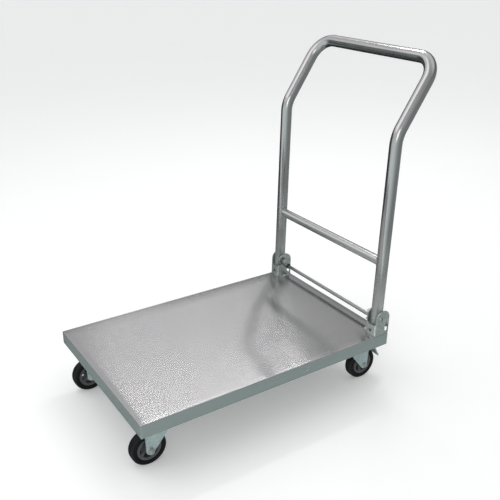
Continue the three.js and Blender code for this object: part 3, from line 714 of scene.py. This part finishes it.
deck_low, deck_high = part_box("deck_pan")
deck = folded_pan("deck_folded_sheet", deck_low, deck_high)
finish_piece(deck, "deck", DECK_STEEL, ["deck_pan"])

for node_name in ("caster_channel_front", "caster_channel_rear",
                  "deck_stiffener_left", "deck_stiffener_right"):
    eased(node_name, FRAME_STEEL, 0.5)


# ---------------------------------------------------------------- handle

def handle_point(back, out, up):
    """A point given in millimetres behind, to the side of and above the pivot."""
    return PIVOT + Vector((back, out, up)) * MM


foot_up = (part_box("handle_tube")[0].z - PIVOT.z) / MM
handle_corners = [
    handle_point(0, -LEG_Y, foot_up), handle_point(KNEE_BACK, -LEG_Y, KNEE_UP),
    handle_point(SHOULDER_BACK, -LEG_Y, SHOULDER_UP), handle_point(SHOULDER_BACK, LEG_Y, SHOULDER_UP),
    handle_point(KNEE_BACK, LEG_Y, KNEE_UP), handle_point(0, LEG_Y, foot_up),
]
handle_line = rounded_path(
    handle_corners, [KNEE_BEND * MM, SHOULDER_BEND * MM, SHOULDER_BEND * MM, KNEE_BEND * MM]
)
handle = tube_piece("handle_bent_tube", handle_line, TUBE_RADIUS - FINER_BEND, 56, TUBE_STEEL, False)
handle_wall = handle.modifiers.new("tube_wall", "SOLIDIFY")
handle_wall.thickness = TUBE_WALL * MM
handle_wall.offset = -1
finish_piece(handle, "handle", None, ["handle_tube"])

bar_low, bar_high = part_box("handle_crossbar")
bar_middle = (bar_low + bar_high) / 2
bar_into_leg = 1.2 * MM
crossbar_line = [Vector((bar_middle.x, bar_low.y - bar_into_leg, bar_middle.z)),
                 Vector((bar_middle.x, bar_high.y + bar_into_leg, bar_middle.z))]
crossbar = tube_piece("handle_crossbar_tube", crossbar_line, CROSSBAR_RADIUS, 48, TUBE_STEEL)
finish_piece(crossbar, "handle", None, ["handle_crossbar"])


def saddle_line(out, radius, steps=72):
    """The line where the crossbar meets a leg."""
    points = []
    for step in range(steps):
        angle = 2 * math.pi * step / steps
        across = radius * math.cos(angle)
        leg_side = math.sqrt(TUBE_RADIUS ** 2 - min(across ** 2, 0.98 * TUBE_RADIUS ** 2))
        sideways = out * (LEG_Y - leg_side - TOUCH_GAP)
        points.append(bar_middle + Vector((across, sideways, radius * math.sin(angle))) * MM)
    return points


for side, out in SIDES.items():
    bead_line = line_mesh(f"crossbar_weld_line_{side}", saddle_line(out, CROSSBAR_RADIUS + 0.2), True)
    bead = grown(f"crossbar_weld_{side}", WELD_TREE, bead_line, WELD_STEEL,
                 {"Ripple Radius": 1.5 * MM, "Ripples": 64, "Seed": 3})
    finish_piece(bead, "handle", None, (), 80)


# ---------------------------------------------------------------- hinges and lock rod

def spring_line(out):
    """A torsion spring's wire: a hook on the ear's edge, turns round the pivot, a leg under the rod."""
    spring_low, spring_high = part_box("return_spring_left")
    hook_x = (spring_low.x - PIVOT.x) / MM + SPRING_WIRE
    ear_face = LEG_Y - EAR_FROM_LEG
    rod_low, rod_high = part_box("lock_rod")
    rod_x = ((rod_low.x + rod_high.x) / 2 - PIVOT.x) / MM
    rod_z = ((rod_low.z + rod_high.z) / 2 - PIVOT.z) / MM
    rod_reach = math.hypot(rod_x, rod_z)
    under_rod = SPRING_RADIUS - ROD_RADIUS - SPRING_WIRE - TOUCH_GAP
    leg_angle = math.atan2(rod_z, rod_x) - math.acos(under_rod / rod_reach)
    side_way = (math.cos(leg_angle), math.sin(leg_angle))
    along = (-side_way[1], side_way[0])
    start = -math.pi / 2
    wound = leg_angle - start + 2 * math.pi * (math.ceil(SPRING_TURNS) - 1)
    last = SPRING_FIRST + SPRING_PITCH * wound / (2 * math.pi)

    def at(x, z, from_ear):
        return Vector((PIVOT.x + x * MM, out * (ear_face - from_ear) * MM, PIVOT.z + z * MM))

    points = [at(hook_x, -SPRING_RADIUS, -1.5), at(hook_x, -SPRING_RADIUS, SPRING_FIRST - 1),
              at(hook_x + 1, -SPRING_RADIUS, SPRING_FIRST)]
    steps = 60
    for step in range(steps + 1):
        part = step / steps
        angle = start + part * wound
        points.append(at(SPRING_RADIUS * math.cos(angle), SPRING_RADIUS * math.sin(angle),
                         SPRING_FIRST + part * (last - SPRING_FIRST)))
    run = rod_x * along[0] + rod_z * along[1] + ROD_RADIUS
    tip = (side_way[0] * SPRING_RADIUS + along[0] * run, side_way[1] * SPRING_RADIUS + along[1] * run)
    points.append(at(tip[0], tip[1], last))
    return points


for side, out in SIDES.items():
    eased(f"hinge_bracket_{side}", BRACKET_STEEL, 0.45)
    bolt_low, bolt_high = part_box(f"pivot_bolt_{side}")
    head_face = bolt_high.y if out > 0 else bolt_low.y
    head_outline = [
        (0, -PIN_HOLE_DEPTH), (2.6, -PIN_HOLE_DEPTH), (2.7, -0.5), (3.4, 0), (5.6, -0.2), (6.5, -0.8),
        (6.7, -2.6), (7.4, -2.7), (8.6, -2.1), (PIN_HEAD_RADIUS, -2.4), (PIN_HEAD_RADIUS, -PIN_HEAD_HEIGHT),
        (5, -PIN_HEAD_HEIGHT), (5, -55), (0, -55),
    ]
    head_outline = [(radius, out * along) for radius, along in head_outline]
    head_place = Vector((PIVOT.x, head_face, PIVOT.z))
    pivot_bolt = turned(f"pivot_bolt_round_{side}", head_outline, head_place, 48)
    finish_piece(pivot_bolt, "deck", FASTENER_ZINC, [f"pivot_bolt_{side}"])
    nut_low, nut_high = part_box(f"pivot_nut_{side}")
    nut_seat = nut_high.y if out > 0 else nut_low.y
    pivot_nut = hexagons(
        f"pivot_nut_hexagon_{side}", [Vector((PIVOT.x, nut_seat, PIVOT.z))], face_along_y(-out),
        FASTENER_ZINC, flats=17, height=6.4, washer=(8.4, 0.6), shank=4.9, up=1.8, down=0,
    )
    finish_piece(pivot_nut, "deck", None, [f"pivot_nut_{side}"])
    spring = tube_piece(f"return_spring_wire_{side}", spring_line(out), SPRING_WIRE, 12, SPRING_STEEL)
    finish_piece(spring, "deck", None, [f"return_spring_{side}"])
    eased(f"rod_clip_{side}", SPRING_STEEL, 0.25)

rod_low, rod_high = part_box("lock_rod")
rod_middle = (rod_low + rod_high) / 2
rod_ends = [Vector((rod_middle.x, y, rod_middle.z)) for y in (rod_low.y, rod_high.y)]
rod = tube_piece("lock_rod_drawn", rod_ends, ROD_RADIUS, 40, ROD_STEEL)
add_edge_round(rod, 0.8, 3, 50)
finish_piece(rod, "lock_rod", None, ["lock_rod"])

bracket_bolts = [Vector((x * MM, out * y * MM, deck_high.z + BRACKET_FLOOR * MM)) for out in SIDES.values()
                 for x, y in BRACKET_BOLT_SPOTS]
bracket_bolt_heads = hexagons(
    "bracket_bolt_heads", bracket_bolts, FACE_UP, FASTENER_ZINC,
    flats=13, height=4.2, washer=(8, 0.9), shank=4, up=0, down=12,
)
finish_piece(bracket_bolt_heads, "deck", None)
bracket_nut_spots = [Vector((spot.x, spot.y, deck_high.z - SHEET * MM)) for spot in bracket_bolts]
bracket_nuts = hexagons(
    "bracket_bolt_nuts", bracket_nut_spots, FACE_DOWN, FASTENER_ZINC,
    flats=13, height=6.5, washer=(8, 1.6), shank=4, up=2.5, down=0,
)
finish_piece(bracket_nuts, "deck", None)


# ---------------------------------------------------------------- casters

def tyre_outline():
    """A tyre's section, one half mirrored: rounded shoulders, shallow grooves and a moulded bead ring."""
    half = [
        (TYRE_RADIUS - 0.05, 0), (TYRE_RADIUS - 0.05, 3.6), (TYRE_RADIUS - 0.75, 4.1),
        (TYRE_RADIUS - 0.75, 4.7), (TYRE_RADIUS - 0.1, 5.2), (TYRE_RADIUS - 0.3, 8.2),
        (TYRE_RADIUS - 1.1, 10.6), (TYRE_RADIUS - 2.8, 12.3),
        (TYRE_RADIUS - 5.2, TYRE_HALF_WIDTH), (37.8, TYRE_HALF_WIDTH - 0.1), (37.2, 12.3), (36.4, 12.3),
        (35.8, TYRE_HALF_WIDTH - 0.1), (33.2, TYRE_HALF_WIDTH - 0.2), (TYRE_INNER + 0.1, 12.0),
    ]
    other = [(radius, -along) for radius, along in reversed(half[1:])]
    return half + other


for corner in CORNERS:
    swivel = JOINT_PLACE[f"swivel_{corner}"]
    axle = JOINT_PLACE[f"spin_{corner}"]
    fork_body, wheel_body = f"fork_{corner}", f"wheel_{corner}"
    eased(f"caster_plate_{corner}", CASTER_ZINC, 0.5)
    eased(f"ball_race_{corner}", CASTER_ZINC, 0.3)
    eased(f"kingpin_{corner}", FASTENER_ZINC, 0.4)
    eased(f"fork_{corner}", CASTER_ZINC, 0.7)
    plate_low, plate_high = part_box(f"caster_plate_{corner}")
    sheet_bottom = plate_high.z - CASTER_PLATE * MM
    plate_spots = [
        Vector((swivel.x + i * PLATE_HOLE_X * MM, swivel.y + j * PLATE_HOLE_Y * MM, sheet_bottom))
        for i in (-1, 1) for j in (-1, 1)
    ]
    nuts = hexagons(
        f"plate_nuts_{corner}", plate_spots, FACE_DOWN, FASTENER_ZINC,
        flats=13, height=6.5, washer=(7.4, 1.4), shank=4, up=1.8, down=8,
    )
    finish_piece(nuts, "deck", None)

    tyre = turned(f"tyre_moulded_{corner}", tyre_outline(), axle, 96)
    finish_piece(tyre, wheel_body, TYRE_RUBBER, [f"tyre_{corner}"])
    eased(f"wheel_hub_{corner}", HUB_PLASTIC, 0.6)
    eased(f"axle_sleeve_{corner}", FASTENER_ZINC, 0.2)
    nut_low, nut_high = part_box(f"axle_nut_{corner}")
    nut_out = 1 if nut_low.y > axle.y else -1
    nut_seat = nut_low.y if nut_out > 0 else nut_high.y
    nut = hexagons(
        f"axle_nut_hexagon_{corner}", [Vector((axle.x, nut_seat, axle.z))], face_along_y(nut_out),
        FASTENER_ZINC, flats=13, height=6.3, washer=(8, 1.2), shank=3.9, up=0, down=0,
    )
    finish_piece(nut, fork_body, None, [f"axle_nut_{corner}"])
    eased(f"axle_bolt_{corner}", FASTENER_ZINC, 0.4)

for corner in REAR_CORNERS:
    eased(f"brake_pedal_{corner}", CASTER_ZINC, 0.6)
    eased(f"brake_pin_{corner}", FASTENER_ZINC, 0.3)


# ---------------------------------------------------------------- floor, light and camera

def flat_material(name, colour, roughness, glow):
    """A plain matt surface with a faint cloudy tint and a little light of its own."""
    material, tree, shader = material_tree(name)
    grain = noise(tree, place_of(tree), 3.0, 2.0)
    tint = tuple(channel * 0.97 for channel in colour)
    shader.inputs["Emission Color"].default_value = (1.0, 1.0, 1.0, 1.0)
    shader.inputs["Emission Strength"].default_value = glow
    tree.links.new(mix_colour(tree, grain, colour, tint), shader.inputs["Base Color"])
    shader.inputs["Roughness"].default_value = roughness
    shader.inputs["Specular IOR Level"].default_value = 0.2
    return material


FLOOR_HALF = 60.0
floor_mesh = bpy.data.meshes.new("studio_floor")
floor_mesh.from_pydata(
    [(-FLOOR_HALF, -FLOOR_HALF, 0), (FLOOR_HALF, -FLOOR_HALF, 0), (FLOOR_HALF, FLOOR_HALF, 0),
     (-FLOOR_HALF, FLOOR_HALF, 0)], [], [(0, 1, 2, 3)],
)
floor = link_mesh("studio_floor", floor_mesh)
floor.data.materials.append(flat_material("pale_floor", (0.93, 0.935, 0.93), 0.9, 0.2))
floor.visible_glossy = False


def make_studio(bright, dim, low, backdrop):
    """A pale ceiling that ends past the handle, over low walls that are lightest on the front side.

    The tones go by direction, so that polished metal has something to reflect. What is seen straight
    behind the cart is only the plain pale backdrop.
    """
    world = bpy.data.worlds.new("studio")
    bpy.context.scene.world = world
    world.use_nodes = True
    sky = world.node_tree
    sky.nodes.clear()
    ray = node(sky, "ShaderNodeTexCoord").outputs["Generated"]
    apart = node(sky, "ShaderNodeSeparateXYZ", Vector=ray).outputs
    rearward, away, up = apart[0], apart[1], apart[2]
    lean = maths(sky, "DIVIDE", rearward, maths(sky, "MAXIMUM", up, 0.001))

    # the ceiling, over walls that stand higher behind the handle
    under_ceiling = remap(sky, lean, 1.09, 1.14, 1.0, 0.0)
    rear_side = remap(sky, rearward, -0.1, 0.25, 0.0, 1.0)
    wall_top = remap(sky, rear_side, 0.0, 1.0, 0.16, 0.3)
    above_wall = remap(sky, maths(sky, "SUBTRACT", up, wall_top), 0.0, 0.12, 0.0, 1.0)

    # brighter upwards on the rear side, darker upwards on the front side, dimmer towards the near side
    rising = remap(sky, up, 0.42, 0.64, 0.85, 1.4)
    falling = remap(sky, up, 0.42, 0.75, 1.0, 0.6)
    near_side = remap(sky, away, -0.75, -0.1, 0.4, 1.0)
    front_part = multiply(sky, falling, maths(sky, "SUBTRACT", 1.0, rear_side))
    slope = maths(sky, "ADD", multiply(sky, rising, rear_side), front_part)

    # a dimmer patch of ceiling low down on the rear side, before the long lamp
    past_gap = remap(sky, lean, 0.58, 0.62, 0.3, 1.0)
    over_gap = remap(sky, up, 0.5, 0.54, 0.0, 1.0)
    before_gap = remap(sky, rearward, 0.0, 0.1, 1.0, 0.0)
    open_corner = maths(sky, "MAXIMUM", maths(sky, "MAXIMUM", past_gap, over_gap), before_gap)
    share = multiply(sky, multiply(sky, under_ceiling, above_wall), multiply(sky, slope, near_side))
    share = multiply(sky, share, open_corner)

    # low down, the tone goes by the compass heading of the ray: lightest on the front side, darkest far off
    level = node(sky, "ShaderNodeVectorMath", {"operation": "MULTIPLY"})
    feed(sky, level.inputs[0], ray)
    feed(sky, level.inputs[1], (1.0, 1.0, 0.0))
    heading = node(sky, "ShaderNodeVectorMath", {"operation": "NORMALIZE"})
    feed(sky, heading.inputs[0], level.outputs[0])
    towards = node(sky, "ShaderNodeSeparateXYZ", Vector=heading.outputs[0]).outputs
    front = maths(sky, "MULTIPLY", towards[0], -1.0)
    facing_front = maths(sky, "POWER", remap(sky, front, -0.6, 0.95, 0.0, 1.0), 1.6)
    side_tone = remap(sky, facing_front, 0.0, 1.0, 0.34, 1.0)
    far_tone = remap(sky, towards[1], 0.5, 0.75, 1.0, 0.13)
    low_tone = mix_colour(sky, multiply(sky, side_tone, far_tone), (0.0, 0.0, 0.0), low)
    walls = mix_colour(sky, remap(sky, up, 0.12, 0.3, 0.0, 1.0), low_tone, dim)

    # straight behind the cart only the backdrop is seen
    colour = mix_colour(sky, share, walls, bright)
    seen = node(sky, "ShaderNodeLightPath").outputs["Is Camera Ray"]
    colour = mix_colour(sky, seen, colour, backdrop)
    background = node(sky, "ShaderNodeBackground", Color=colour, Strength=1.0)
    output = sky.nodes.new("ShaderNodeOutputWorld")
    sky.links.new(background.outputs[0], output.inputs[0])


make_studio(
    bright=(0.96, 0.96, 0.97), dim=(0.23, 0.241, 0.237), low=(0.92, 1.02, 1.0), backdrop=(0.87, 0.88, 0.875)
)


def soft_light(name, place, aim, size, power, colour=(1, 1, 1)):
    data = bpy.data.lights.new(name, "AREA")
    data.shape = "RECTANGLE"
    data.size, data.size_y = size
    data.energy = power
    data.color = colour
    lamp = bpy.data.objects.new(name, data)
    bpy.context.scene.collection.objects.link(lamp)
    lamp.location = place
    lamp.rotation_euler = (Vector(aim) - Vector(place)).to_track_quat("-Z", "Y").to_euler()
    return lamp


soft_light("long_lamp", (1.15, 1.3, 2.56), (1.15, 0.1, 0.16), (1.46, 0.16), 11, (1.0, 0.99, 0.98))
soft_light("handle_lamp", (-0.97, 0.56, 2.36), (0.35, -0.1, 0.78), (1.6, 1.6), 8)
soft_light("front_fill", (-2.2, -2.4, 1.7), (0.0, 0.0, 0.3), (1.6, 1.6), 14)

CAMERA_LENS = 49.4475
CAMERA_SHIFT = (-0.00823, 0.0118)
CAMERA_PLACE = Vector((-0.9084, -1.3666, 1.1167))
CAMERA_YAW, CAMERA_PITCH, CAMERA_ROLL = (math.radians(angle) for angle in (55.3246, 24.3407, 1.1114))
forward = Vector((
    math.cos(CAMERA_PITCH) * math.cos(CAMERA_YAW), math.cos(CAMERA_PITCH) * math.sin(CAMERA_YAW),
    -math.sin(CAMERA_PITCH),
))
level_right = Vector((math.sin(CAMERA_YAW), -math.cos(CAMERA_YAW), 0))
level_up = level_right.cross(forward)
camera_right = math.cos(CAMERA_ROLL) * level_right + math.sin(CAMERA_ROLL) * level_up
camera_up = math.cos(CAMERA_ROLL) * level_up - math.sin(CAMERA_ROLL) * level_right
camera_data = bpy.data.cameras.new("camera")
camera_data.lens = CAMERA_LENS
camera_data.sensor_width = 36
camera_data.shift_x, camera_data.shift_y = CAMERA_SHIFT
camera = bpy.data.objects.new("camera", camera_data)
bpy.context.scene.collection.objects.link(camera)
turn = Matrix((camera_right, camera_up, -forward)).transposed().to_4x4()
camera.matrix_world = Matrix.Translation(CAMERA_PLACE) @ turn
bpy.context.scene.camera = camera
bpy.context.scene.view_settings.view_transform = "Standard"
